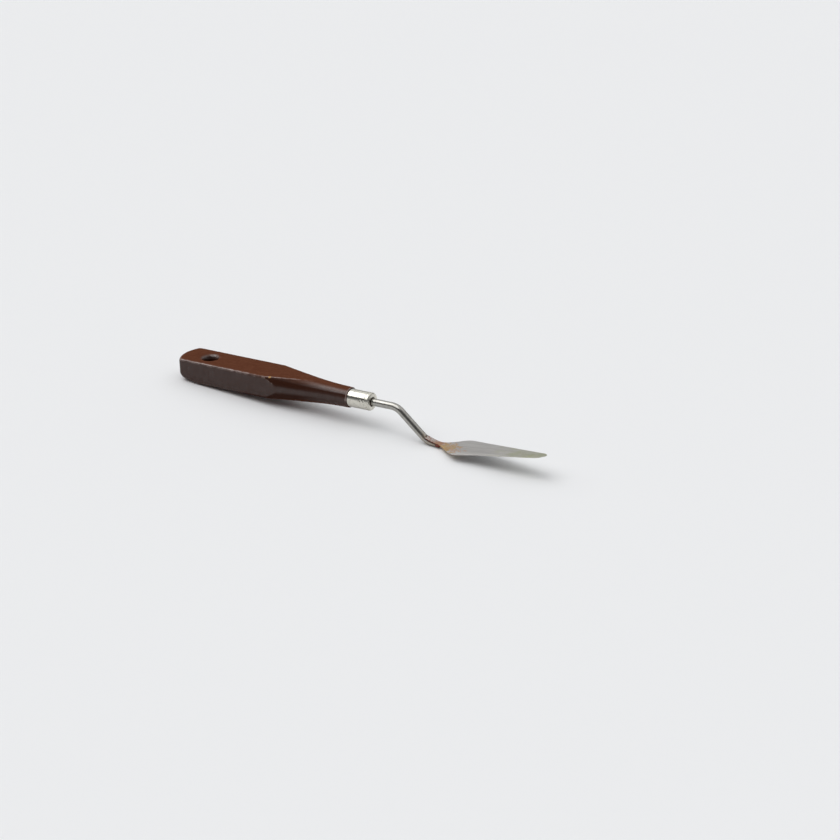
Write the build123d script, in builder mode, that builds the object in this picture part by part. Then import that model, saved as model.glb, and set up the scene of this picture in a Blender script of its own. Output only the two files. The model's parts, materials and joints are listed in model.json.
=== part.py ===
from build123d import *

import os
from math import cos, radians, sin, tan

os.makedirs("parts", exist_ok=True)

# A cranked painting knife, lying on a table: +X runs from the butt of the handle to the tip of the
# blade, +Z is up, and the origin is under the middle of the knife, on the table.
# Lengths are in millimetres and angles in degrees.

# The whole knife
overall_length = 207.4
handle_tilt = 4.2
fit_gap = 0.05

# Wooden handle: a flat blank with a bowed butt, its front end turned down to a round neck
handle_length = 99.2
handle_width = 17.8
handle_thickness = 11.5
butt_bow = 2.9
butt_corner_radius = 3.0
butt_flare_angle = 15.0
butt_top_radius = 1.2
butt_bottom_radius = 4.8
arris_radius = 1.0
blank_length = 53.0
neck_radius = 5.05
turning_middle = 77.0
turning_middle_radius = 6.35

# Hang hole, drilled a hair off the middle of the handle and rounded over on both faces
hang_hole_from_butt = 15.5
hang_hole_sideways = 0.2
hang_hole_radius = 3.2
hang_hole_rounding = 3.0

# Ferrule: a thin tube with its front end closed in around the shank
ferrule_length = 12.2
ferrule_radius = 4.45
ferrule_wall = 0.35
ferrule_mouth_radius = 2.35
ferrule_lip_radius = 0.9

# Shank: a round rod driven into the handle and cranked down to the table
rod_radius = 1.84
rod_depth_in_wood = 34.0
rod_end_chamfer = 0.6
crank_from_butt = 125.3
crank_drop_angle = 36.7
crank_bend_radius = 8.0
rod_end_from_butt = 149.3

# Blade: one thin leaf, its tang curved along a flat ground on the rod's end. It was ground by hand,
# so its left and right edges differ a little and its nose stands to the left. The corner radii are
# those of the neck, left shoulder, right shoulder, waist, right point, left point and nose.
blade_thickness = 0.4
root_curve_radius = 32.0
root_curve_from_butt = 151.7
root_height = 2.3
tang_angle = 18.0
leaf_rise_angle = 10.2
tang_half_width = 1.5
neck_from_butt = 150.2
left_shoulder_from_butt = 160.0
right_shoulder_from_butt = 161.8
shoulder_half_width = 9.6
waist_from_butt = 171.5
waist_half_width = 7.6
right_point_from_butt = 204.0
right_point_width = 3.3
left_point_from_butt = 205.2
left_point_width = 2.4
nose_half_width = 0.7
nose_sideways = 0.7
blade_corner_radii = (5.0, 7.0, 4.0, 60.0, 5.0, 3.0, 1.2)

# Braze that runs out at the rod's end, under the blade
braze_length = 1.7
braze_depth = 1.1
braze_half_width = 1.25


# The handle, ferrule and first run of the rod share one axis. It climbs from the butt, whose lowest
# rounded edge stands on the table, and the top edge of the butt is the rearmost point.
tilt_cos = cos(radians(handle_tilt))
tilt_sin = sin(radians(handle_tilt))
top_reach = handle_thickness / 2 - butt_top_radius
bottom_reach = handle_thickness / 2 - butt_bottom_radius
butt_overhang = top_reach * tilt_sin + butt_top_radius * (1 - tilt_cos)
butt_x = butt_overhang - overall_length / 2
butt_z = bottom_reach * tilt_cos + butt_bottom_radius * (1 - tilt_sin)
butt = Vector(butt_x, 0, butt_z)
axis_direction = Vector(tilt_cos, 0, tilt_sin)
plan_plane = Plane(origin=butt, x_dir=axis_direction, z_dir=(-tilt_sin, 0, tilt_cos))
side_plane = Plane(origin=butt, x_dir=axis_direction, z_dir=(0, -1, 0))
handle_axis = Axis(butt, axis_direction)


def on_axis(distance):
    """The point of the handle's axis at a distance from the butt."""
    return butt + axis_direction * distance


def across_axis(distance):
    """The plane square to the handle's axis at a distance from the butt."""
    return Plane(origin=on_axis(distance), z_dir=axis_direction)


def from_butt(distance):
    """The X of a point at a level distance from the butt."""
    return butt_x + distance


# Handle
tenon_end = handle_length + ferrule_length - ferrule_wall - fit_gap
tenon_radius = ferrule_radius - ferrule_wall - fit_gap
blank_corner_radius = Vector(handle_width / 2, handle_thickness / 2).length
blank_bottom = plan_plane.offset(-handle_thickness / 2)
upward = Axis((0, 0, 0), plan_plane.z_dir)


def blank_outline(flare):
    """The edges of the blank in plan: a bowed butt, and sides that spread by flare towards the front."""
    back = handle_width / 2
    front = handle_width / 2 + flare
    with BuildLine() as outline:
        left_side = Line((butt_bow, back), (tenon_end, front))
        right_side = Line((butt_bow, -back), (tenon_end, -front))
        ThreePointArc(right_side @ 0, (0, 0), left_side @ 0)
        Line(left_side @ 1, right_side @ 1)
    return outline.edges()


# The butt is rounded more than the sides. This block's sides spread clear of the handle, so that its
# large rounding fades out along the handle's edges, as sanding leaves it.
with BuildPart() as rounded_butt:
    with BuildSketch(blank_bottom) as spread_blank:
        make_face(blank_outline(flare=tenon_end * tan(radians(butt_flare_angle))))
        fillet(spread_blank.vertices().group_by(Axis.X)[0], butt_corner_radius)
    extrude(amount=handle_thickness)
    fillet(rounded_butt.faces().sort_by(upward)[0].edges(), butt_bottom_radius)
    fillet(rounded_butt.faces().sort_by(upward)[-1].edges(), butt_top_radius)

with BuildPart() as handle:
    with BuildSketch(blank_bottom) as blank:
        make_face(blank_outline(flare=0))
        fillet(blank.vertices().group_by(Axis.X)[0], butt_corner_radius)
    extrude(amount=handle_thickness)
    broad_faces = handle.faces().sort_by(upward)
    fillet(broad_faces[0].edges() + broad_faces[-1].edges(), arris_radius)
    add(rounded_butt.part, mode=Mode.INTERSECT)

    # The turned neck and tenon: what stays of the blank is inside this spindle
    with BuildSketch(side_plane):
        with BuildLine():
            clear_of_blank = Line((-1, 0), (-1, blank_corner_radius))
            blank_end = Line(clear_of_blank @ 1, (blank_length, blank_corner_radius))
            middle = (turning_middle, turning_middle_radius)
            neck = ThreePointArc(blank_end @ 1, middle, (handle_length, neck_radius))
            tenon = Polyline(neck @ 1, (handle_length, tenon_radius), (tenon_end, tenon_radius))
            Polyline(tenon @ 1, (tenon_end, 0), clear_of_blank @ 0)
        make_face()
    revolve(axis=handle_axis, mode=Mode.INTERSECT)

    # Bore for the rod
    with BuildSketch(across_axis(tenon_end)):
        Circle(rod_radius + fit_gap)
    bore_depth = rod_depth_in_wood + fit_gap
    extrude(amount=-bore_depth, mode=Mode.SUBTRACT)

    # Hang hole
    hole_middle = (hang_hole_from_butt, hang_hole_sideways, handle_thickness / 2)
    with Locations(Plane(plan_plane.from_local_coords(hole_middle), z_dir=plan_plane.z_dir)):
        Hole(hang_hole_radius, depth=handle_thickness)
    circles = handle.edges().filter_by(GeomType.CIRCLE)
    hole_edges = circles.filter_by(lambda edge: abs(edge.radius - hang_hole_radius) < fit_gap)
    fillet(hole_edges, hang_hole_rounding)

handle.part.label = "handle"
export_step(handle.part, "parts/handle.step")


# Ferrule
ferrule_front = handle_length + ferrule_length
ferrule_bore_radius = ferrule_radius - ferrule_wall

with BuildPart() as ferrule:
    with BuildSketch(side_plane) as ferrule_section:
        with BuildLine():
            Polyline(
                (handle_length, ferrule_bore_radius),
                (handle_length, ferrule_radius),
                (ferrule_front, ferrule_radius),
                (ferrule_front, ferrule_mouth_radius),
                (ferrule_front - ferrule_wall, ferrule_mouth_radius),
                (ferrule_front - ferrule_wall, ferrule_bore_radius),
                close=True,
            )
        make_face()
        front_corner = ferrule_section.vertices().group_by(Axis.X)[-1].sort_by(Axis.Y)[-1]
        fillet(front_corner, ferrule_lip_radius)
    revolve(axis=handle_axis)

ferrule.part.label = "ferrule"
export_step(ferrule.part, "parts/ferrule.step")


# Shank
rod_start = on_axis(tenon_end - rod_depth_in_wood)
crank = on_axis(crank_from_butt)
heel_x = crank.X + (crank.Z - rod_radius) / tan(radians(crank_drop_angle))
heel = Vector(heel_x, 0, rod_radius)
rod_end = Vector(from_butt(rod_end_from_butt), 0, rod_radius)

# The blade's root is an arc about this point, seen from the side
root_centre = (from_butt(root_curve_from_butt), root_height + root_curve_radius)
tang_start_angle = -90 - tang_angle
root_turn = tang_angle + leaf_rise_angle
underside_radius = root_curve_radius + blade_thickness


def ground_sector():
    """The edges of what is ground away for the tang, seen from the side: it follows the blade's underside."""
    with BuildLine() as sector:
        ground = CenterArc(root_centre, underside_radius + fit_gap, tang_start_angle, root_turn)
        Line(root_centre, ground @ 0)
        Line(ground @ 1, root_centre)
    return sector.edges()


with BuildPart() as shank:
    with BuildLine() as rod_path:
        FilletPolyline(rod_start, crank, heel, rod_end, radius=crank_bend_radius)
    with BuildSketch(across_axis(tenon_end - rod_depth_in_wood)):
        Circle(rod_radius)
    sweep(path=rod_path.wires()[0])
    inner_end = shank.faces().sort_by(Axis.X)[0]
    chamfer(inner_end.edges(), rod_end_chamfer)

    # The flat for the tang
    with BuildSketch(Plane.XZ):
        make_face(ground_sector())
    extrude(amount=rod_radius * 2, both=True, mode=Mode.SUBTRACT)

shank.part.label = "shank"
export_step(shank.part, "parts/shank.step")


# Blade
tip_x = overall_length / 2
leaf_direction = Vector(cos(radians(leaf_rise_angle)), sin(radians(leaf_rise_angle)))
leaf_length = overall_length / 2

with BuildPart() as blade:
    # Side view: a strip of even thickness, curved at the root and straight to the tip
    with BuildSketch(Plane.XZ):
        with BuildLine():
            top = CenterArc(root_centre, root_curve_radius, tang_start_angle, root_turn)
            underside = CenterArc(root_centre, underside_radius, tang_start_angle, root_turn)
            Line(top @ 0, underside @ 0)
            leaf_top = Line(top @ 1, top @ 1 + leaf_direction * leaf_length)
            leaf_underside = Line(underside @ 1, underside @ 1 + leaf_direction * leaf_length)
            Line(leaf_top @ 1, leaf_underside @ 1)
        make_face()
    extrude(amount=handle_width, both=True)

    # Plan view: narrow tang, broad shoulders, long taper and rounded point
    with BuildSketch() as outline:
        with BuildLine():
            Polyline(
                (from_butt(crank_from_butt), tang_half_width),
                (from_butt(neck_from_butt), tang_half_width),
                (from_butt(left_shoulder_from_butt), shoulder_half_width),
                (from_butt(waist_from_butt), waist_half_width),
                (from_butt(left_point_from_butt), left_point_width),
                (tip_x, nose_sideways + nose_half_width),
                (tip_x, nose_sideways - nose_half_width),
                (from_butt(right_point_from_butt), -right_point_width),
                (from_butt(waist_from_butt), -waist_half_width),
                (from_butt(right_shoulder_from_butt), -shoulder_half_width),
                (from_butt(neck_from_butt), -tang_half_width),
                (from_butt(crank_from_butt), -tang_half_width),
                close=True,
            )
        make_face()
        # Corners are rounded from the tip back, so that those not yet reached keep their place
        for place, radius in reversed(list(enumerate(blade_corner_radii, start=1))):
            fillet(outline.vertices().group_by(Axis.X)[place], radius)
    extrude(amount=overall_length, mode=Mode.INTERSECT)

blade.part.label = "blade"
export_step(blade.part, "parts/blade.step")


# Braze bead, which fills the corner between the rod's end and the underside of the blade
bead_bottom = root_height - blade_thickness - braze_depth
with BuildPart() as braze:
    with BuildSketch(Plane.XZ):
        with BuildLine():
            Polyline(
                (rod_end.X, bead_bottom),
                (rod_end.X, root_height),
                (rod_end.X + braze_length, root_height),
                close=True,
            )
        make_face()
    extrude(amount=braze_half_width, both=True)
    with BuildSketch(Plane.XZ):
        make_face(ground_sector())
    extrude(amount=braze_half_width, both=True, mode=Mode.SUBTRACT)

braze.part.label = "braze"
export_step(braze.part, "parts/braze.step")
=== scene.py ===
# %% [markdown]
# # A cranked painting knife
#
# The knife has five pieces: a lacquered wooden handle, a nickel-plated ferrule, a round steel shank
# with two bends, a thin blade, and the braze that joins the blade to the shank. The engineering
# model gives each one its size and place, in metres, with +X from the butt of the handle to the
# tip of the blade and +Z up from the table. This lesson gives each of them the surface of the real
# thing. It starts by loading that model and noting the box that the whole knife fills.

import json
from math import asin, cos, pi, radians, sin, tan

import bmesh
import bpy
from mathutils import Matrix, Vector, noise


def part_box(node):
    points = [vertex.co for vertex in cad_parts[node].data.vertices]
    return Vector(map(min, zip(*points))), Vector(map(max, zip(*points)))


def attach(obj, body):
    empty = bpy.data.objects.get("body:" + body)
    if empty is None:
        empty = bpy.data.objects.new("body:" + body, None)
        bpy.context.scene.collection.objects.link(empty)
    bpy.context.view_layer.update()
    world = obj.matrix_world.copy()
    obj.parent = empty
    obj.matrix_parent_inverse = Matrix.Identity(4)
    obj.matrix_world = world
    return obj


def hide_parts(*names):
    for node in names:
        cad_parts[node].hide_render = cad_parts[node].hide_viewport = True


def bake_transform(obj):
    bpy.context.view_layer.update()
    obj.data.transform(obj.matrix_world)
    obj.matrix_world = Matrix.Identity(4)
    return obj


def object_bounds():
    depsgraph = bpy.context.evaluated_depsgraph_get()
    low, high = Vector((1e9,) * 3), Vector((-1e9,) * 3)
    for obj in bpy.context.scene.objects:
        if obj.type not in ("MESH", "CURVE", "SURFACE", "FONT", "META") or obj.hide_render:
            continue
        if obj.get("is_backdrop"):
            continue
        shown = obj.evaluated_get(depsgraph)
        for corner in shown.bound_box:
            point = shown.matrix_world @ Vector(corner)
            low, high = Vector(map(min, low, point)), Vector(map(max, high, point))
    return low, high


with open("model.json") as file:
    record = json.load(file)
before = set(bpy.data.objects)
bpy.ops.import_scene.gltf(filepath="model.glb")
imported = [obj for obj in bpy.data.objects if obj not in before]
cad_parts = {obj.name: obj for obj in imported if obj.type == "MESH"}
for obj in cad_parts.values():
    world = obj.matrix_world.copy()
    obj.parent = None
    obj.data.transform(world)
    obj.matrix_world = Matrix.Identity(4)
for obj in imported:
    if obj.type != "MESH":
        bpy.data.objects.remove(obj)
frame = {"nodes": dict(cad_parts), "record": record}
cad_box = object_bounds()
knife_lo, knife_hi = cad_box
mm = 0.001
print("the knife measures", [round(side / mm, 1) for side in knife_hi - knife_lo], "mm")

# %% [markdown]
# ## Directions on the knife
#
# The knife lies on its butt and on the heel of its shank, so its handle climbs a little. A flat
# face of the handle is one of the places where the knife can be held, and the record says which
# way that face looks. The handle's own length direction is square to it. Knowing both, wood grain
# and turned surfaces can follow the handle and not the table. The hang hole's place gives the
# middle of the butt, from which the other places along the knife are counted.

# %% The handle's directions
mounts = {mount["name"]: mount for mount in frame["record"]["mounts"]}
handle_up = Vector(mounts["handle_top"]["axis"]).normalized()
handle_along = Vector((handle_up.z, 0, -handle_up.x))
handle_tilt = asin(handle_along.z)
hang_hole_from_butt = 15.5 * mm
hang_hole = Vector(mounts["hang_hole"]["pos_m"])
butt_middle = Vector((hang_hole.x, 0, hang_hole.z)) - handle_along * hang_hole_from_butt
print("the handle climbs", round(handle_tilt / radians(1), 2), "degrees")

# %% [markdown]
# ## Camera
#
# A knife is usually shown from a little above, lying across the picture, by a long lens that
# keeps its proportions true. The camera could be parented to a target, but it's simpler to work
# out one matrix: a direction from the target back to the camera, a slight roll, and a distance.

# %% Camera
camera_turn = radians(32.04)
camera_height = radians(24.69)
camera_roll = radians(1.582)
camera_distance = 1.4248
camera_target = Vector((knife_lo.x + 125.26 * mm, 20.83 * mm, 0))
sensor_width_mm = 36
focal_length_mm = 126.7
nearest_seen = 0.05
farthest_seen = 100

camera_back = Vector((
    sin(camera_turn) * cos(camera_height),
    -cos(camera_turn) * cos(camera_height),
    sin(camera_height),
))
lens = bpy.data.cameras.new("camera")
lens.sensor_width = sensor_width_mm
lens.lens = focal_length_mm
lens.clip_start = nearest_seen
lens.clip_end = farthest_seen
camera = bpy.data.objects.new("camera", lens)
bpy.context.scene.collection.objects.link(camera)
camera_facing = camera_back.to_track_quat("Z", "Y").to_matrix()
camera_frame = camera_facing @ Matrix.Rotation(camera_roll, 3, "Z")
camera_place = Matrix.Translation(camera_target + camera_back * camera_distance)
camera.matrix_world = camera_place @ camera_frame.to_4x4()
bpy.context.scene.camera = camera
print("the camera stands", round(camera.matrix_world.translation.z, 3), "m above the table")

# %% [markdown]
# ## Shader helpers
#
# A finish is easier to read as arithmetic than as a drawing of wires. `Number` wraps a socket, so
# that `1 - mask` or `grain * 0.2 + 0.4` adds the Math nodes by itself. `Finish` is one material:
# its `node` method adds any node from its type, its settings and what goes into its sockets, and
# `mix` blends two colours. Sockets that are the same all over are set on the shader itself.


# %% Arithmetic on sockets
class Number:
    """A value that changes over a surface, with ordinary arithmetic."""

    def __init__(self, finish, socket):
        self.finish = finish
        self.socket = socket

    def combine(self, operation, first, second):
        """The Math node of one operation on two values."""
        return Number(self.finish, self.finish.node(
            "ShaderNodeMath", {"operation": operation}, {0: first, 1: second}
        ))

    def __add__(self, other):
        return self.combine("ADD", self, other)

    def __radd__(self, other):
        return self.combine("ADD", other, self)

    def __sub__(self, other):
        return self.combine("SUBTRACT", self, other)

    def __rsub__(self, other):
        return self.combine("SUBTRACT", other, self)

    def __mul__(self, other):
        return self.combine("MULTIPLY", self, other)

    def __rmul__(self, other):
        return self.combine("MULTIPLY", other, self)


# %% Any node
class Nodes:
    """A node tree under construction."""

    def __init__(self, tree):
        self.tree = tree

    def node(self, kind, settings, sockets, output=0):
        """Adds a node: its settings first, then the values and links of its sockets."""
        made = self.tree.nodes.new(kind)
        for name, value in settings.items():
            if name == "stops":
                self.set_stops(made.color_ramp, value)
            else:
                setattr(made, name, value)
        for name, value in sockets.items():
            self.feed(made.inputs[name], value)
        return made.outputs[output]

    def feed(self, socket, value):
        """Links a value into a socket, or sets the socket to it."""
        if isinstance(value, Number):
            value = value.socket
        if isinstance(value, bpy.types.NodeSocket):
            self.tree.links.new(value, socket)
        else:
            socket.default_value = value

    def set_stops(self, ramp, stops):
        """Gives a ramp its stops, as (position, colour) pairs in rising order."""
        while len(ramp.elements) < len(stops):
            ramp.elements.new(1.0)
        for element, (position, colour) in zip(ramp.elements, stops):
            element.position = position
            element.color = colour

    def fade(self, value, low, high, start=0.0, end=1.0):
        """A smooth step: start below low, end above high."""
        return Number(self, self.node("ShaderNodeMapRange", {"interpolation_type": "SMOOTHSTEP"}, {
            "Value": value, "From Min": low, "From Max": high, "To Min": start, "To Max": end,
        }))

    def part_of(self, vector, axis):
        """The X, Y or Z of a vector."""
        return Number(self, self.node("ShaderNodeSeparateXYZ", {}, {"Vector": vector}, output=axis))


# %% One material
class Finish(Nodes):
    """A material under construction, around one Principled shader."""

    def __init__(self, name, **constants):
        self.material = bpy.data.materials.new(name)
        self.material.use_nodes = True
        super().__init__(self.material.node_tree)
        self.shader = self.tree.nodes["Principled BSDF"]
        for socket, value in constants.items():
            self.shader.inputs[socket.replace("_", " ")].default_value = value

    def vector(self, operation, first, second):
        """The Vector Math node of one operation on two vectors."""
        return self.node("ShaderNodeVectorMath", {"operation": operation}, {0: first, 1: second})

    def place(self, centre=(0, 0, 0), turn=(0, 0, 0), stretch=(1, 1, 1)):
        """The piece's own coordinates, centred and turned, then stretched."""
        coordinates = self.node("ShaderNodeTexCoord", {}, {}, output="Object")
        centred = self.vector("SUBTRACT", coordinates, centre)
        turned = self.node("ShaderNodeMapping", {"vector_type": "POINT"}, {
            "Vector": centred, "Rotation": turn,
        })
        return self.vector("MULTIPLY", turned, stretch)

    def length(self, place):
        """How far a place is from its centre."""
        return Number(self, self.node(
            "ShaderNodeVectorMath", {"operation": "LENGTH"}, {0: place}, output="Value"
        ))

    def noise(self, place, size, detail=2.0, roughness=0.5, warp=0.0):
        """Smooth noise from 0 to 1, whose blobs are about size metres across."""
        return Number(self, self.node("ShaderNodeTexNoise", {}, {
            "Vector": place, "Scale": 1 / size, "Detail": detail, "Roughness": roughness,
            "Distortion": warp,
        }))

    def attribute(self, name):
        """A number that was stored on the mesh's vertices."""
        return Number(self, self.node(
            "ShaderNodeAttribute", {"attribute_name": name}, {}, output="Fac"
        ))

    def mix(self, share, first, second):
        """A blend from the first colour to the second."""
        return self.node("ShaderNodeMix", {"data_type": "RGBA"}, {
            "Factor": share, 6: first, 7: second,
        }, output=2)

    def bump(self, height, depth, under=None):
        """Relief from a height of 0 to 1, depth metres deep, on top of another relief."""
        sockets = {"Height": height, "Distance": depth, "Strength": 1.0}
        if under is not None:
            sockets["Normal"] = under
        return self.node("ShaderNodeBump", {}, sockets)

    def paint(self, **sockets):
        """Links what varies into the shader, and returns the finished material."""
        for name, value in sockets.items():
            self.feed(self.shader.inputs[name.replace("_", " ")], value)
        print(self.material.name, "has", len(self.tree.nodes), "nodes")
        return self.material


# %% [markdown]
# ## Studio
#
# The table is a plain pale sheet, wide enough to fill the picture from any side. The light could
# come from area lamps, but their light fades with distance and leaves the table uneven. A sun
# lamp with a wide angle lights the whole table alike and still throws a soft shadow: it behaves
# like a big softbox far away. There are three. The key comes from the butt's side, a wider one
# fills from overhead, and a front one stands high enough to draw a bright line along the ferrule
# and the shank. The room stays dark on the near side, so that polished steel has something dark
# to show, and a pale glow near the table's level lights the shank from below.


# %% Table
table_half_width = 15
pale_grey = (0.843, 0.848, 0.858, 1)


def make_table():
    """A plain matt sheet under the knife."""
    sheet = bmesh.new()
    bmesh.ops.create_grid(sheet, x_segments=1, y_segments=1, size=table_half_width)
    mesh = bpy.data.meshes.new("table")
    sheet.to_mesh(mesh)
    sheet.free()
    table = bpy.data.objects.new("table", mesh)
    bpy.context.scene.collection.objects.link(table)
    finish = Finish("pale_sheet", Base_Color=pale_grey, Roughness=0.9, Specular_IOR_Level=0.1)
    mesh.materials.append(finish.paint())
    print("the table is", 2 * table_half_width, "m wide")
    return table


make_table()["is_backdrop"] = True


# %% Lights
def soft_light(name, towards, strength, width):
    """A distant soft light that comes from a direction, width radians across."""
    lamp = bpy.data.lights.new(name, "SUN")
    lamp.energy = strength
    lamp.angle = width
    light = bpy.data.objects.new(name, lamp)
    bpy.context.scene.collection.objects.link(light)
    light.rotation_euler = Vector(towards).to_track_quat("Z", "Y").to_euler()
    print(name, "light is", round(width / radians(1)), "degrees across")


soft_light("key", towards=(-1.15, -0.2, 1.0), strength=0.76, width=radians(56))
soft_light("overhead", towards=(-0.1, 0.35, 1.0), strength=0.95, width=radians(95))
soft_light("front", towards=(-0.35, -0.42, 1.0), strength=1.1, width=radians(56))


# %% Room
room_tint = (0.97, 0.985, 1.0, 1)
near_side, far_side = -0.7, 0.5
glow_full, glow_gone = 0.10, 0.32


def make_room(dark, pale, horizon_glow):
    """A dim room: dark on the near side, paler beyond the knife and near the table's level."""
    world = bpy.data.worlds.new("room")
    bpy.context.scene.world = world
    world.use_nodes = True
    room = Nodes(world.node_tree)
    direction = room.node("ShaderNodeTexCoord", {}, {}, output="Generated")
    background = world.node_tree.nodes["Background"]
    background.inputs["Color"].default_value = room_tint
    sides = room.fade(room.part_of(direction, "Y"), near_side, far_side, dark, pale)
    horizon = room.fade(room.part_of(direction, "Z"), glow_full, glow_gone, horizon_glow, 0.0)
    room.feed(background.inputs["Strength"], sides + horizon)
    print("the room is", dark, "to", pale, "bright, and", horizon_glow, "more near the table")


make_room(dark=0.10, pale=0.33, horizon_glow=0.30)
bpy.context.scene.view_settings.view_transform = "Standard"


# %% [markdown]
# ## From a bmesh to a piece
#
# Every new piece goes the same way at the end: the bmesh becomes a mesh, the mesh gets its
# material and smooth shading, and the object is linked. Edges sharper than a given angle stay
# crisp.


# %% Finishing a piece
def make_piece(name, shape, material, crisp=radians(180)):
    """Turns a bmesh into a linked object with smooth faces and a material."""
    mesh = bpy.data.meshes.new(name)
    shape.to_mesh(mesh)
    shape.free()
    mesh.shade_smooth()
    mesh.set_sharp_from_angle(angle=crisp)
    mesh.materials.append(material)
    piece = bpy.data.objects.new(name, mesh)
    bpy.context.scene.collection.objects.link(piece)
    print(name, "has", len(mesh.vertices), "vertices and", len(mesh.polygons), "faces")
    return piece


# %% [markdown]
# ## Handle
#
# The handle is a flat hardwood blank, sanded round at the butt, turned to a round neck at the
# front, drilled for hanging, and dipped in lacquer. Where the flat faces run out into the turned
# neck there is a crease, and lacquer always rounds a crease over. A bevel can't follow a crease
# that fades out, so the handle is remeshed from the engineering shape with fine voxels and
# smoothed a few times, which softens exactly the sharp places and leaves the flats alone.

# %% Handle shape
handle_voxel = 0.32 * mm
handle_smoothing = 3
same_place = 0.001 * mm


def merged_copy(node):
    """A bmesh of a node's mesh with its loose triangles joined."""
    shape = bmesh.new()
    shape.from_mesh(frame["nodes"][node].data)
    bmesh.ops.remove_doubles(shape, verts=shape.verts, dist=same_place)
    return shape


def remeshed(shape, voxel):
    """The same closed shape as an even net of small quads."""
    mesh = bpy.data.meshes.new("rough_shape")
    shape.to_mesh(mesh)
    shape.free()
    rough = bpy.data.objects.new("rough_shape", mesh)
    bpy.context.scene.collection.objects.link(rough)
    net = rough.modifiers.new("voxels", "REMESH")
    net.mode = "VOXEL"
    net.voxel_size = voxel
    evaluated = rough.evaluated_get(bpy.context.evaluated_depsgraph_get())
    result = bmesh.new()
    result.from_mesh(evaluated.to_mesh())
    evaluated.to_mesh_clear()
    bpy.data.objects.remove(rough)
    bpy.data.meshes.remove(mesh)
    return result


handle_shape = remeshed(merged_copy("handle"), handle_voxel)
for step in range(handle_smoothing):
    bmesh.ops.smooth_vert(
        handle_shape, verts=handle_shape.verts, factor=0.5,
        use_axis_x=True, use_axis_y=True, use_axis_z=True,
    )
print("the handle's net has", len(handle_shape.faces), "faces")

# %% [markdown]
# Lacquer is knocked off first where an edge stands proud, and the edges also get a painted
# highlight along the arris; both are weaker on the underside than on top. The amount by which each
# vertex stands out from its neighbours says where the edges are, so it is stored on the mesh as a
# number that the finish can read. So is how far each vertex faces sideways, because the sides get
# painted shade and more gloss than the broad faces. One small chip on the near arris, where the
# flat starts to run out, shows the pale wood.

# %% Edges and the chip
sharp_edge_height = 0.1 * handle_voxel
# the edges are lightened by wear and by a painted highlight, less underneath
underside_wear_and_highlight = 0.3
chip_from_butt = 57 * mm
chip_sideways = -7.9 * mm
chip_size = 0.75 * mm
chip_depth = 0.22 * mm
raggedness = 0.5
ragged_grain = 0.5 * mm
top_middle, underside_middle = (
    Vector(mounts[name]["pos_m"]) for name in ("handle_top", "handle_underside")
)
half_thickness = (top_middle - underside_middle).length / 2
chip = butt_middle + handle_along * chip_from_butt + handle_up * half_thickness
chip += Vector((0, chip_sideways, 0))


def store_edges(shape):
    """Stores how far each vertex stands out from its neighbours, about 1 on a sharp edge."""
    layer = shape.verts.layers.float.new("edge")
    for vertex in shape.verts:
        ring = [edge.other_vert(vertex).co for edge in vertex.link_edges]
        middle = sum(ring, Vector()) / len(ring)
        wear_and_highlight = 1.0 if vertex.normal.dot(handle_up) > 0 else underside_wear_and_highlight
        vertex[layer] = wear_and_highlight * (vertex.co - middle).dot(vertex.normal) / sharp_edge_height


def store_sides(shape):
    """Stores how far each vertex faces sideways: 0 on the broad faces, 1 on the sides."""
    layer = shape.verts.layers.float.new("side")
    for vertex in shape.verts:
        vertex[layer] = 1 - abs(vertex.normal.dot(handle_up))


def knock_chip(shape, centre, size, depth):
    """Presses a small ragged hollow into the shape, and stores where it is."""
    layer = shape.verts.layers.float.new("chip")
    for vertex in shape.verts:
        reach = size * (1 + raggedness * noise.noise(vertex.co / ragged_grain))
        share = max(0.0, 1 - (vertex.co - centre).length / reach)
        vertex[layer] = share
        vertex.co -= vertex.normal * depth * share


handle_shape.normal_update()
store_edges(handle_shape)
store_sides(handle_shape)
knock_chip(handle_shape, chip, chip_size, chip_depth)
print("the chip is", round(chip_from_butt / mm, 1), "mm from the butt")

# %% [markdown]
# ## Lacquered wood
#
# The lacquer is a dark red-brown, thin enough for the grain to show as faint streaks along the
# handle. The sides are painted much darker than the broad faces: that is painted shade. It dried
# a little unevenly, so its colour wanders, and its skin has a fine orange peel. Long stretched
# noise makes the grain, round noise makes the mottling, and both are turned with the handle. The
# edges are painted lighter, partly as worn lacquer and partly as a painted highlight. The gloss
# is a clear coat over a duller brown. It is best kept on the sides, where it ran down in faint
# drips. Hands have rubbed it off the broad faces, and off the rounded slopes between the butt
# and the neck.

# %% Lacquer colours
brown_thin = (0.126, 0.048, 0.027, 1)
brown_deep = (0.102, 0.037, 0.020, 1)
brown_mottled = (0.088, 0.029, 0.016, 1)
brown_in_pores = (0.045, 0.015, 0.009, 1)
# painted shade: the near-black brown that darkens the sides
shaded_brown_on_sides = (0.024, 0.008, 0.005, 1)
# worn lacquer and a painted highlight along the edges
worn_and_highlit_edge = (0.30, 0.20, 0.17, 1)
bare_wood = (0.50, 0.30, 0.12, 1)
rubbed_from, rubbed_to = 30 * mm, 50 * mm
neck_from, neck_to = 70 * mm, 90 * mm
print("the slopes are dullest from", round(rubbed_to / mm), "to", round(neck_from / mm), "mm")


# %% Lacquer
def kept_gloss(finish, from_butt, sideways):
    """Where the clear gloss is left: 0 on the broad faces, about 1 on slopes near the butt."""
    unrubbed = (
        1 - finish.fade(from_butt, rubbed_from, rubbed_to) * 0.9
        + finish.fade(from_butt, neck_from, neck_to) * 0.5
    )
    upright = finish.fade(sideways, 0.7, 0.95)
    off_flat = finish.fade(sideways, 0.03, 0.25) - finish.fade(sideways, 0.5, 1.0) * 0.35
    return off_flat * (unrubbed + upright * (1 - unrubbed))


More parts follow.
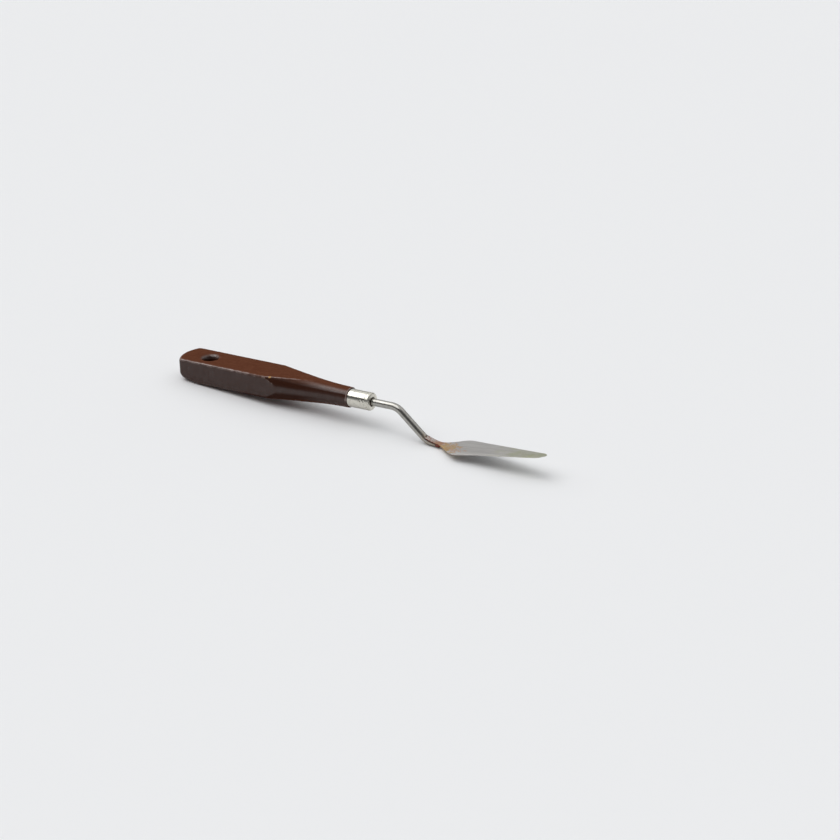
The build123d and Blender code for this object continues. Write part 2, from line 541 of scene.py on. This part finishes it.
def lacquered_wood():
    """Dark red-brown lacquer over fine-grained wood."""
    finish = Finish("lacquered_wood", Coat_Roughness=0.14, Coat_IOR=2.0, Specular_IOR_Level=0.0)
    turn = (0, handle_tilt, 0)
    plain = finish.place(butt_middle)
    along = finish.place(butt_middle, turn, stretch=(0.08, 1, 1))
    running_down = finish.place(butt_middle, turn, stretch=(1, 1, 0.2))
    grain = finish.noise(along, 0.6 * mm, detail=4, roughness=0.6, warp=0.4)
    pores = finish.fade(finish.noise(along, 0.2 * mm, detail=2), 0.60, 0.72)
    mottle = finish.noise(plain, 1.9 * mm, detail=4, roughness=0.6)
    peel = finish.noise(plain, 0.8 * mm, detail=1)
    drips = finish.noise(running_down, 1.0 * mm, detail=3)
    sideways = finish.attribute("side")
    gloss = kept_gloss(finish, finish.part_of(finish.place(butt_middle, turn), "X"), sideways)
    edge = finish.fade(finish.attribute("edge") + (mottle - 0.5) * 0.9, 0.25, 0.85)
    chipped = finish.fade(finish.attribute("chip"), 0.05, 0.3)
    brown = finish.mix(finish.fade(grain, 0.3, 0.7), brown_deep, brown_thin)
    brown = finish.mix(finish.fade(mottle, 0.35, 0.7) * 0.5, brown, brown_mottled)
    brown = finish.mix(pores * 0.4, brown, brown_in_pores)
    # Painted shade: the sides are darkened towards a near-black brown.
    brown = finish.mix(finish.fade(sideways, 0.04, 0.5) * 0.85, brown, shaded_brown_on_sides)
    # Wear and a painted highlight: the edges are lightened.
    brown = finish.mix(edge * 0.6, brown, worn_and_highlit_edge)
    coat = gloss * (0.5 + (drips - 0.5) * 0.5 + (mottle - 0.5) * 0.4) + edge * 0.5
    relief = finish.bump(grain + pores * -0.6, 0.008 * mm)
    relief = finish.bump(peel, 0.010 * mm, under=relief)
    return finish.paint(
        Base_Color=finish.mix(chipped, brown, bare_wood),
        Roughness=0.42 + (mottle - 0.5) * 0.2 + chipped * 0.3,
        Coat_Weight=coat * (1 - chipped),
        Normal=relief,
    )


handle_piece = make_piece("handle_lacquered", handle_shape, lacquered_wood())
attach(handle_piece, "knife")
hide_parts("handle")

# %% [markdown]
# ## Ferrule
#
# The ferrule is a short drawn tube whose front end is rolled in around the shank. It is a turned
# shape, so its section is drawn as a few points in the plane of the handle's axis and spun once
# round it. The points run up the outside, over the rolled lip into the mouth and back along the
# inside, so the spun wall is closed.

# %% Ferrule section
ferrule_lo, ferrule_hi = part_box("ferrule")
ferrule_middle = (ferrule_lo + ferrule_hi) / 2
ferrule_radius = (ferrule_hi.y - ferrule_lo.y) / 2
ferrule_level_length = ferrule_hi.x - ferrule_lo.x - 2 * ferrule_radius * sin(handle_tilt)
ferrule_length = ferrule_level_length / cos(handle_tilt)
ferrule_wall = 0.35 * mm
ferrule_mouth = 2.3 * mm
rim = 0.12 * mm
groove_back = 2.35 * mm
groove_depth = 0.09 * mm
groove_half = 0.16 * mm
groove_step = 0.01 * mm
lip_radius = 0.95 * mm
lip_steps = 7
print("the ferrule is", round(ferrule_length / mm, 2), "mm long")


def ferrule_section():
    """The section's corners, as (distance from the back end, radius)."""
    front = ferrule_length
    groove = front - groove_back
    outside = [
        (0, ferrule_radius - rim),
        (rim, ferrule_radius),
        (groove - groove_half, ferrule_radius),
        (groove, ferrule_radius - groove_depth),
        (groove + groove_half, ferrule_radius - groove_step),
    ]
    lip = []
    for step in range(lip_steps + 1):
        angle = pi / 2 * step / lip_steps
        lip.append((
            front - lip_radius * (1 - sin(angle)),
            ferrule_radius - lip_radius * (1 - cos(angle)),
        ))
    mouth = [
        (front, ferrule_mouth + rim),
        (front - rim, ferrule_mouth),
        (front - ferrule_wall, ferrule_mouth),
        (front - ferrule_wall, ferrule_radius - lip_radius),
        (front - lip_radius, ferrule_radius - ferrule_wall),
        (0, ferrule_radius - ferrule_wall),
    ]
    return outside + lip + mouth


# %% [markdown]
# The long runs of the section are cut into short ones before spinning, because two small punch
# ticks are pressed into the near side of the wall afterwards: they are what holds the ferrule on
# the wood. The rolled lip isn't perfectly smooth either, so noise moves it by a few hundredths of
# a millimetre, and how near each vertex is to the lip is stored for the finish.

# %% Ferrule shape
ferrule_back = ferrule_middle - handle_along * (ferrule_length / 2)
section_step = 0.2 * mm
spin_steps = 160
spin_seam = 0.002 * mm


def spun_ferrule():
    """The ferrule's section spun round the handle's axis."""
    shape = bmesh.new()
    section = [ferrule_back + handle_along * x + handle_up * r for x, r in ferrule_section()]
    corners = [shape.verts.new(point) for point in section]
    edges = [shape.edges.new((a, b)) for a, b in zip(corners, corners[1:] + corners[:1])]
    for edge in list(edges):
        cuts = int(edge.calc_length() / section_step)
        if cuts:
            bmesh.ops.subdivide_edges(shape, edges=[edge], cuts=cuts)
    bmesh.ops.spin(
        shape, geom=shape.verts[:] + shape.edges[:], cent=ferrule_back, axis=handle_along,
        angle=2 * pi, steps=spin_steps, use_merge=True,
    )
    bmesh.ops.remove_doubles(shape, verts=shape.verts, dist=spin_seam)
    bmesh.ops.recalc_face_normals(shape, faces=shape.faces)
    return shape


ferrule_shape = spun_ferrule()
print("the ferrule's section has", len(ferrule_shape.verts) // spin_steps, "points")

# %% Lip and punch ticks
lip_fade = 0.8 * mm
lip_grain = 0.9 * mm
lip_wander = 0.035 * mm
tick_angle = radians(16)
tick_side = Vector((0, -cos(tick_angle), sin(tick_angle)))
tick_places = (7.6 * mm, 9.4 * mm)
tick_length = 0.55 * mm
tick_width = 0.26 * mm
tick_depth = 0.16 * mm
tick_reach = 0.2 * mm


def roughen_lip(shape):
    """Moves the rolled lip in and out by a few hundredths of a millimetre."""
    layer = shape.verts.layers.float.new("lip")
    for vertex in shape.verts:
        from_back = (vertex.co - ferrule_back).dot(handle_along)
        share = min(1.0, max(0.0, (from_back - ferrule_length + groove_back) / lip_fade))
        outward = vertex.co - ferrule_back - handle_along * from_back
        vertex[layer] = share
        wander = noise.fractal(vertex.co / lip_grain, 0.8, 2.0, 3)
        vertex.co += outward.normalized() * wander * share * lip_wander


def punch_ticks(shape):
    """Presses the two punch ticks into the near side."""
    round_axis = handle_along.cross(tick_side)
    for distance in tick_places:
        centre = ferrule_back + handle_along * distance + tick_side * ferrule_radius
        for vertex in shape.verts:
            away = vertex.co - centre
            lengthwise = away.dot(handle_along) / tick_width
            crosswise = away.dot(round_axis) / tick_length
            from_middle = lengthwise ** 2 + crosswise ** 2
            if from_middle < 1 and abs(away.dot(tick_side)) < tick_reach:
                vertex.co -= tick_side * tick_depth * (1 - from_middle)


roughen_lip(ferrule_shape)
punch_ticks(ferrule_shape)
print("the ferrule has", len(tick_places), "punch ticks")

# %% [markdown]
# ## Nickel plate
#
# Nickel is a warm white metal. Handling leaves hair-fine scratches round the tube, a faint haze,
# and a dull band where the lip was rolled. Metals get their look from what they reflect, so the
# finish only sets a bright colour, a low roughness that wanders, and very shallow relief.


# %% Nickel
nickel_bright = (0.66, 0.64, 0.57, 1)
nickel_worn = (0.46, 0.44, 0.38, 1)
nickel_pit = (0.20, 0.18, 0.15, 1)


def nickel_plate():
    """Bright nickel with fine scratches and a duller rolled lip."""
    finish = Finish("nickel_plate", Metallic=1.0)
    turn = (0, handle_tilt, 0)
    plain = finish.place(ferrule_middle, turn)
    round_about = finish.place(ferrule_middle, turn, stretch=(6, 0.5, 0.5))
    scratches = finish.noise(round_about, 0.35 * mm, detail=3, roughness=0.7)
    haze = finish.noise(plain, 1.6 * mm, detail=3)
    pitting = finish.noise(plain, 0.35 * mm, detail=2)
    lip = finish.attribute("lip")
    worn = finish.fade(haze, 0.45, 0.75)
    metal = finish.mix(worn * 0.6, nickel_bright, nickel_worn)
    metal = finish.mix(finish.fade(pitting, 0.62, 0.72) * lip, metal, nickel_pit)
    relief = finish.bump(scratches, 0.003 * mm)
    relief = finish.bump(pitting * lip, 0.06 * mm, under=relief)
    return finish.paint(
        Base_Color=metal,
        Roughness=0.13 + worn * 0.10 + lip * 0.12 + finish.fade(scratches, 0.55, 0.8) * 0.08,
        Normal=relief,
    )


ferrule_piece = make_piece("ferrule_nickel", ferrule_shape, nickel_plate(), crisp=radians(50))
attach(ferrule_piece, "knife")
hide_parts("ferrule")

# %% [markdown]
# ## Shank
#
# The shank is a bright steel rod, bent twice and ground flat on top of its end, where the tang
# lies. The engineering model already has exactly that shape, so the node stays and only gets a
# finish: polished steel with drawing lines along it, and a brown heat stain that starts near the
# heel, where the torch was. The stain depends on the place along X. Close under the tang a dark
# line is painted in as shade and dark reflection in the crease between the rod and the tang. It
# follows the curve of the blade's root, so that curve's numbers come first.

# %% Root of the blade
root_x = butt_middle.x + 151.7 * mm
root_top = 2.3 * mm
root_radius = 32 * mm
blade_thickness = 0.4 * mm
rod_end = Vector((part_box("shank")[1].x, 0, 0))
print("the rod ends", round((rod_end.x - butt_middle.x) / mm, 1), "mm from the butt")


# %% Painted shade under the tang
def shade_under_tang(finish, from_end):
    """Painted shade: a dark line along the rod, close under the tang's curve."""
    at_root = finish.place((root_x, 0, root_top - blade_thickness))
    ahead = finish.part_of(at_root, "X")
    above_tang = finish.part_of(at_root, "Z") - ahead * ahead * (0.5 / root_radius)
    close = finish.fade(above_tang, -0.9 * mm, -0.15 * mm)
    return close * finish.fade(from_end, -8 * mm, -7 * mm)


# %% Polished steel
steel_bright = (0.42, 0.41, 0.385, 1)
steel_grey = (0.33, 0.32, 0.295, 1)
steel_in_lines = (0.20, 0.19, 0.17, 1)
steel_stained = (0.40, 0.29, 0.20, 1)
steel_rusty = (0.16, 0.05, 0.03, 1)
# painted shade and reflection in the crease under the tang
painted_tang_shade = (0.045, 0.032, 0.022, 1)


def polished_steel():
    """Bright drawn rod, stained by heat near the joint."""
    finish = Finish("polished_steel", Metallic=1.0)
    plain = finish.place(rod_end)
    drawn = finish.place(rod_end, stretch=(0.08, 1, 1))
    lines = finish.noise(drawn, 0.25 * mm, detail=3, roughness=0.7)
    cloud = finish.noise(plain, 1.8 * mm, detail=3)
    speck = finish.fade(finish.noise(plain, 0.5 * mm, detail=2), 0.62, 0.70)
    from_end = finish.part_of(plain, "X")
    near_joint = finish.fade(from_end, -13 * mm, -5 * mm)
    steel = finish.mix(finish.fade(cloud, 0.3, 0.7), steel_bright, steel_grey)
    steel = finish.mix(finish.fade(lines, 0.55, 0.75) * 0.5, steel, steel_in_lines)
    stained = finish.mix(speck, steel_stained, steel_rusty)
    steel = finish.mix(near_joint * finish.fade(cloud, 0.35, 0.65) * 0.8, steel, stained)
    # Painted shade and reflection: the rod is darkened close under the tang.
    steel = finish.mix(shade_under_tang(finish, from_end) * 0.85, steel, painted_tang_shade)
    relief = finish.bump(lines, 0.004 * mm)
    relief = finish.bump(cloud, 0.02 * mm, under=relief)
    return finish.paint(
        Base_Color=steel,
        Roughness=0.17 + lines * 0.08 + near_joint * 0.12,
        Normal=relief,
    )


shank_mesh = frame["nodes"]["shank"].data
shank_mesh.materials.clear()
shank_mesh.materials.append(polished_steel())

# %% [markdown]
# ## Blade
#
# The blade is a thin leaf, stamped from spring steel: a narrow tang, two rounded shoulders, a long
# taper and a rounded point. Grinding by hand left its two edges a little different, so each has
# its own row of corners. A vertex bevel rounds each corner, as a stamping die does. Slices across
# the leaf then give it enough vertices to bend, a curve lifts it from the tang to its straight
# run, and a last step gives it thickness. It thins towards the tip, as a ground blade does, which
# is what makes the tip springy.

# %% Blade outline
blade_lo, blade_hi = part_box("blade")
tip_clearance = 0.05 * mm
tang_start = blade_lo.x
tip = blade_hi.x - tip_clearance
tang_half_width = 1.5 * mm
tang_rounding = 0.4 * mm

# distance of each corner from the butt, half width there, and the radius of its rounding
left_corners = (
    (150.2 * mm, tang_half_width, 5.0 * mm),
    (160.0 * mm, 9.6 * mm, 7.0 * mm),
    (171.5 * mm, 7.6 * mm, 60.0 * mm),
    (205.2 * mm, 2.4 * mm, 3.0 * mm),
)
right_corners = (
    (150.2 * mm, tang_half_width, 5.0 * mm),
    (161.8 * mm, 9.6 * mm, 4.0 * mm),
    (171.5 * mm, 7.6 * mm, 60.0 * mm),
    (204.0 * mm, 3.3 * mm, 5.0 * mm),
)
nose_sideways = 0.7 * mm
nose_half_width = 0.7 * mm
nose_rounding = 1.2 * mm
arc_steps = 8


def outline_edge(edge_corners, side):
    """The corners of one edge of the blade, from the tang to the nose, each with its rounding."""
    corners = [(tang_start, side * tang_half_width, tang_rounding)]
    for distance, width, radius in edge_corners:
        corners.append((butt_middle.x + distance, side * width, radius))
    return corners + [(tip, nose_sideways + side * nose_half_width, nose_rounding)]


def rounded_outline():
    """One flat face with the blade's outline, its corners rounded."""
    shape = bmesh.new()
    both = outline_edge(left_corners, side=1) + outline_edge(right_corners, side=-1)[::-1]
    corners = [shape.verts.new((x, width, 0)) for x, width, radius in both]
    shape.faces.new(corners)
    slides = []
    for here, (x, width, radius) in enumerate(both):
        towards_last = (corners[here - 1].co - corners[here].co).normalized()
        towards_next = (corners[(here + 1) % len(corners)].co - corners[here].co).normalized()
        turn = pi - towards_last.angle(towards_next)
        slides.append(radius * tan(turn / 2))
    for corner, slide in zip(corners, slides):
        bmesh.ops.bevel(
            shape, geom=[corner], offset=slide, offset_type="OFFSET", affect="VERTICES",
            segments=arc_steps, profile=0.5, material=-1,
        )
    return shape


blade_shape = rounded_outline()
print("the outline has", len(blade_shape.verts), "points")

# %% Slices
slice_step = 0.8 * mm
lengthwise_cuts = (-4 * mm, -1.2 * mm, 1.2 * mm, 4 * mm)


def slice_flat(shape, point, facing):
    """Cuts a flat shape along a line through a point, square to the way it faces."""
    bmesh.ops.bisect_plane(
        shape, geom=shape.verts[:] + shape.edges[:] + shape.faces[:], dist=same_place,
        plane_co=point, plane_no=facing,
    )


for index in range(1, int((tip - tang_start) / slice_step) + 1):
    slice_flat(blade_shape, (tang_start + index * slice_step, 0, 0), facing=(1, 0, 0))
for width in lengthwise_cuts:
    slice_flat(blade_shape, (0, width, 0), facing=(0, 1, 0))
print("the flat blade has", len(blade_shape.faces), "faces")

# %% Curve of the root
leaf_rise = radians(10.2)


def blade_top(x):
    """Height of the blade's upper face at a place along X."""
    arc_end = root_x + root_radius * sin(leaf_rise)
    if x < arc_end:
        return root_top + root_radius - (root_radius ** 2 - (x - root_x) ** 2) ** 0.5
    return root_top + root_radius * (1 - cos(leaf_rise)) + (x - arc_end) * tan(leaf_rise)


def blade_slope(x):
    """How steeply the blade rises at a place along X, at most as much as its leaf."""
    along_arc = min(1.0, max(-1.0, (x - root_x) / root_radius))
    return min(leaf_rise, max(-leaf_rise, asin(along_arc)))


for vertex in blade_shape.verts:
    vertex.co.z = blade_top(vertex.co.x)
bmesh.ops.recalc_face_normals(blade_shape, faces=blade_shape.faces)
if sum(face.normal.z for face in blade_shape.faces) < 0:
    bmesh.ops.reverse_faces(blade_shape, faces=blade_shape.faces)
print("the tip is", round(blade_top(tip) / mm, 1), "mm above the table")

# %% [markdown]
# `solidify` would give one thickness all over. Extruding the face region downwards and then
# setting each lower vertex by its own thickness gives the taper. The thin edge all round gets a
# small bevel, which is where the bright line along a blade's edge comes from.

# %% Thickness
tip_thickness = 0.28 * mm
edge_bevel = 0.07 * mm
edge_angle = radians(60)


def thickness_at(x):
    """Even on the tang, then thinner and thinner from the root to the tip."""
    share = min(1.0, max(0.0, (x - root_x) / (tip - root_x)))
    return blade_thickness + (tip_thickness - blade_thickness) * share


def thicken(shape):
    """Extrudes the leaf downwards, square to its upper face, and closes it."""
    top_faces = shape.faces[:]
    grown = bmesh.ops.extrude_face_region(shape, geom=top_faces, use_keep_orig=True)["geom"]
    lower = [part for part in grown if isinstance(part, bmesh.types.BMVert)]
    for vertex in lower:
        slope = blade_slope(vertex.co.x)
        down = Vector((sin(slope), 0, -cos(slope)))
        vertex.co += down * thickness_at(vertex.co.x)
    bmesh.ops.recalc_face_normals(shape, faces=shape.faces)


thicken(blade_shape)
blade_shape.normal_update()
sharp = [
    edge for edge in blade_shape.edges
    if edge.is_manifold and edge.calc_face_angle() > edge_angle
]
bmesh.ops.bevel(
    blade_shape, geom=sharp, offset=edge_bevel, offset_type="OFFSET", affect="EDGES", segments=2,
    profile=0.5, material=-1, clamp_overlap=True,
)
print("open edges on the blade:", sum(1 for edge in blade_shape.edges if not edge.is_manifold))

# %% [markdown]
# ## Ground steel
#
# A blade is finished on a belt that runs along it, so it has fine lines lengthwise: noise that is
# stretched a lot along X, in colour, roughness and relief. Brazing heated its root, and heat
# colours steel in bands: straw, orange and pink near the joint. The bands follow the distance
# from a place just ahead of the joint on the near side, where the flame played, broken up into
# blotches by noise, and a ramp holds their colours. The steel over the end of the rod is scorched
# a rusty pink, the tang behind it is grey with rusty specks, where flux was left, and the leaf
# has an old olive film towards its tip.

# %% Heat colours
tint_bands = (
    (0.00, (0.48, 0.28, 0.17, 1)),
    (0.14, (0.56, 0.34, 0.14, 1)),
    (0.26, (0.40, 0.38, 0.19, 1)),
    (0.38, (0.54, 0.35, 0.17, 1)),
    (0.48, (0.42, 0.41, 0.26, 1)),
    (0.60, (0.60, 0.31, 0.15, 1)),
    (0.74, (0.50, 0.39, 0.35, 1)),
    (0.88, (0.45, 0.41, 0.42, 1)),
)
joint_end = Vector((rod_end.x, 0, root_top))
flame_middle = joint_end + Vector((2 * mm, -4 * mm, 0))
tint_reach = 10.5 * mm
scorch_pink = (0.36, 0.16, 0.12, 1)
tang_grey = (0.45, 0.41, 0.38, 1)
olive_film = (0.41, 0.42, 0.26, 1)
rust_red = (0.25, 0.065, 0.04, 1)
print("the tint has", len(tint_bands), "bands over", round(tint_reach / mm, 1), "mm")


# %% Stains on the blade
def heat_tinted(finish, steel, cloud, blot):
    """The steel with its heat bands round the flame's middle, broken into blotches."""
    round_flame = finish.place(flame_middle, stretch=(0.72, 1.15, 1.0))
    distance = finish.length(round_flame) + (cloud - 0.5) * 3 * mm + (blot - 0.5) * 26 * mm
    heat = finish.fade(distance, 0, tint_reach)
    bands = finish.node("ShaderNodeValToRGB", {"stops": tint_bands}, {"Fac": heat})
    return finish.mix(finish.fade(heat, 0.62, 0.98), bands, steel)


def tang_stained(finish, colour, plain, blot):
    """The colour with a scorched patch over the rod's end and a grey tang behind it."""
    from_joint = finish.length(plain) + (blot - 0.5) * 6 * mm
    scorched = 1 - finish.fade(from_joint, 0.8 * mm, 4.0 * mm)
    colour = finish.mix(scorched * 0.7, colour, scorch_pink)
    behind = 1 - finish.fade(finish.part_of(plain, "X"), -3.5 * mm, -0.5 * mm)
    return finish.mix(behind * 0.8, colour, tang_grey)


def filmed(finish, colour, plain, cloud):
    """The colour with an old film that starts in patches and covers the tip."""
    ahead = finish.part_of(plain, "X")
    patches = finish.fade(ahead, 24 * mm, 38 * mm) * finish.fade(cloud, 0.48, 0.62)
    film = finish.fade(ahead, 28 * mm, 54 * mm) * 0.6 + patches * 0.4
    return finish.mix(film * 0.85, colour, olive_film)


# %% Ground steel
ground_light = (0.565, 0.548, 0.528, 1)
ground_dark = (0.465, 0.448, 0.428, 1)
ground_in_lines = (0.30, 0.29, 0.27, 1)


def ground_steel():
    """Satin steel with lengthwise lines, heat bands at the root and a film at the tip."""
    finish = Finish("ground_steel", Metallic=1.0)
    plain = finish.place(joint_end)
    lengthwise = finish.place(joint_end, stretch=(0.025, 1, 0.3))
    fine = finish.noise(lengthwise, 0.16 * mm, detail=3, roughness=0.75)
    broad = finish.noise(lengthwise, 1.1 * mm, detail=3, roughness=0.6)
    cloud = finish.noise(plain, 5 * mm, detail=3)
    blot = finish.noise(plain, 1.6 * mm, detail=3, roughness=0.6)
    steel = finish.mix(finish.fade(broad, 0.35, 0.65), ground_light, ground_dark)
    steel = finish.mix(finish.fade(fine, 0.62, 0.78) * 0.45, steel, ground_in_lines)
    colour = heat_tinted(finish, steel, cloud, blot)
    colour = tang_stained(finish, colour, plain, blot)
    colour = filmed(finish, colour, plain, cloud)
    specks = finish.fade(finish.noise(plain, 0.7 * mm, detail=3, roughness=0.7), 0.52, 0.60)
    rust = specks * (1 - finish.fade(finish.part_of(plain, "X"), -4 * mm, 3 * mm))
    relief = finish.bump(fine, 0.010 * mm)
    relief = finish.bump(broad, 0.020 * mm, under=relief)
    return finish.paint(
        Base_Color=finish.mix(rust * 0.85, colour, rust_red),
        Metallic=1 - rust * 0.7,
        Roughness=0.42 + (fine - 0.5) * 0.15 + (cloud - 0.5) * 0.12 + rust * 0.2,
        Normal=relief,
    )


blade_piece = make_piece("blade_ground", blade_shape, ground_steel(), crisp=radians(40))
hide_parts("blade")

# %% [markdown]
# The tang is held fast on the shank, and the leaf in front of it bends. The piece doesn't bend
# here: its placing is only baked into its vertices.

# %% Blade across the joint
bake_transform(blade_piece)

# %% [markdown]
# ## Braze
#
# The braze is a small frozen puddle: a bead fills the corner between the end of the rod and the
# underside of the blade, some spilled down the near side of the rod, and a thin line ran back
# along each side of the tang. Each drop starts as an ico sphere, is stretched and turned, and
# noise makes it lumpy. The drops overlap and are one piece.

# %% Braze shape
braze_lo, braze_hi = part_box("braze")
bead_middle = Vector(((braze_lo.x + braze_hi.x) / 2 - 0.1 * mm, 0, braze_hi.z - 0.42 * mm))
bead_size = Vector((0.72 * mm, 1.28 * mm, 0.46 * mm))
spill_middle = Vector((braze_lo.x - 0.7 * mm, -1.0 * mm, 1.35 * mm))
spill_size = Vector((1.7 * mm, 1.0 * mm, 0.6 * mm))
run_drops = 5
run_start = braze_lo.x - 0.2 * mm
run_step = 1.5 * mm
run_sideways = 1.45 * mm
run_size = Vector((0.95 * mm, 0.2 * mm, 0.2 * mm))
lump_grain = 0.45 * mm
lump_share = 0.16


def add_drop(shape, centre, size, slope=0.0):
    """One lumpy drop of braze, size metres from its middle to its ends."""
    turned = Matrix.Rotation(slope, 4, "Y") @ Matrix.Diagonal(size).to_4x4()
    place = Matrix.Translation(centre) @ turned
    drop = bmesh.ops.create_icosphere(shape, subdivisions=4, radius=1.0, matrix=place)
    for vertex in drop["verts"]:
        lump = noise.fractal(vertex.co / lump_grain, 1.0, 2.0, 3)
        vertex.co += (vertex.co - centre) * lump * lump_share


braze_shape = bmesh.new()
add_drop(braze_shape, bead_middle, bead_size)
add_drop(braze_shape, spill_middle, spill_size)
for side in (-1, 1):
    for index in range(run_drops):
        run_x = run_start - run_step * index
        tang_underside = blade_top(run_x) - blade_thickness
        run_slope = asin((root_x - run_x) / root_radius)
        run_middle = Vector((run_x, side * run_sideways, tang_underside))
        add_drop(braze_shape, run_middle, run_size, run_slope)
print("the braze has", len(braze_shape.faces), "faces")

# %% Braze finish
copper_red = (0.30, 0.040, 0.022, 1)
oxide_brown = (0.10, 0.014, 0.010, 1)


def braze_metal():
    """Copper-red filler, oxidised in patches."""
    finish = Finish("braze_metal")
    plain = finish.place(bead_middle)
    patch = finish.noise(plain, 0.6 * mm, detail=3, roughness=0.6)
    grit = finish.noise(plain, 0.15 * mm, detail=2)
    return finish.paint(
        Base_Color=finish.mix(finish.fade(patch, 0.35, 0.65), copper_red, oxide_brown),
        Metallic=0.35 + patch * 0.3,
        Roughness=0.34 + grit * 0.25,
        Normal=finish.bump(grit, 0.03 * mm),
    )


braze_piece = make_piece("braze_bead", braze_shape, braze_metal())
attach(braze_piece, "knife")
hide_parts("braze")

# %% [markdown]
#
# The looks must not change the size of the knife. Both boxes are written down to compare: the
# engineering model's and the finished one's.

# %% Compare the boxes
seen_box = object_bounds()
for name, box in (("engineering model", cad_box), ("finished knife", seen_box)):
    print(name, [round(side / mm, 2) for side in box[1] - box[0]], "mm")
